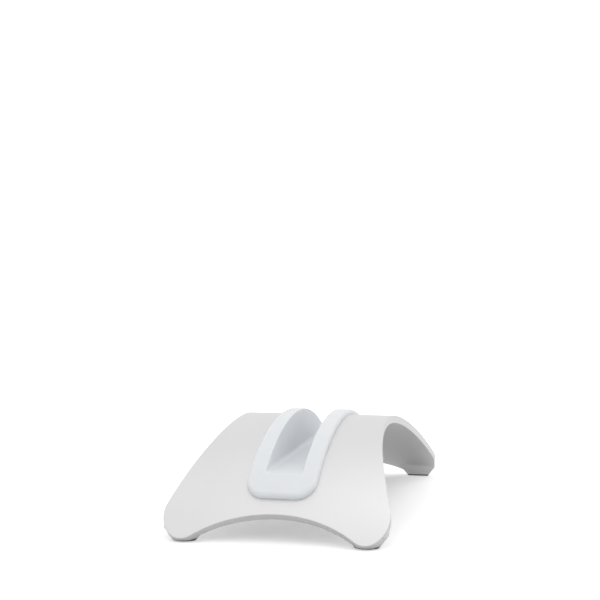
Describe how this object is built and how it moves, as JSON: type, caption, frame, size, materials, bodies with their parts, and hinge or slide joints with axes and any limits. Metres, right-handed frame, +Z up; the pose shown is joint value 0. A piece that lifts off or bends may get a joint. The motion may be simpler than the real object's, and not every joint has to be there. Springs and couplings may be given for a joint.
{
  "type": "vertical laptop stand",
  "caption": "Arched metal desk stand on rounded feet; a soft insert in its long slot has a level groove that holds a closed laptop upright.",
  "frame": {"origin": "on the desk plane, at the middle of the stand", "axes": "+Z up, +Y along the groove and the arch, +X across the groove; -Y is the near end in the picture"},
  "size_m": [0.1042, 0.202, 0.0484],
  "materials": {
    "body": "fine bead-blasted, clear anodised",
    "insert": "milky translucent silicone, satin",
    "pads": "matt dark grey rubber sheet"
  },
  "bodies": {
    "root": {"arch_body": "body", "slot_insert": "insert", "foot_pad_far_right": "pads", "foot_pad_far_left": "pads", "foot_pad_near_right": "pads", "foot_pad_near_left": "pads"}
  },
  "joints": []
}
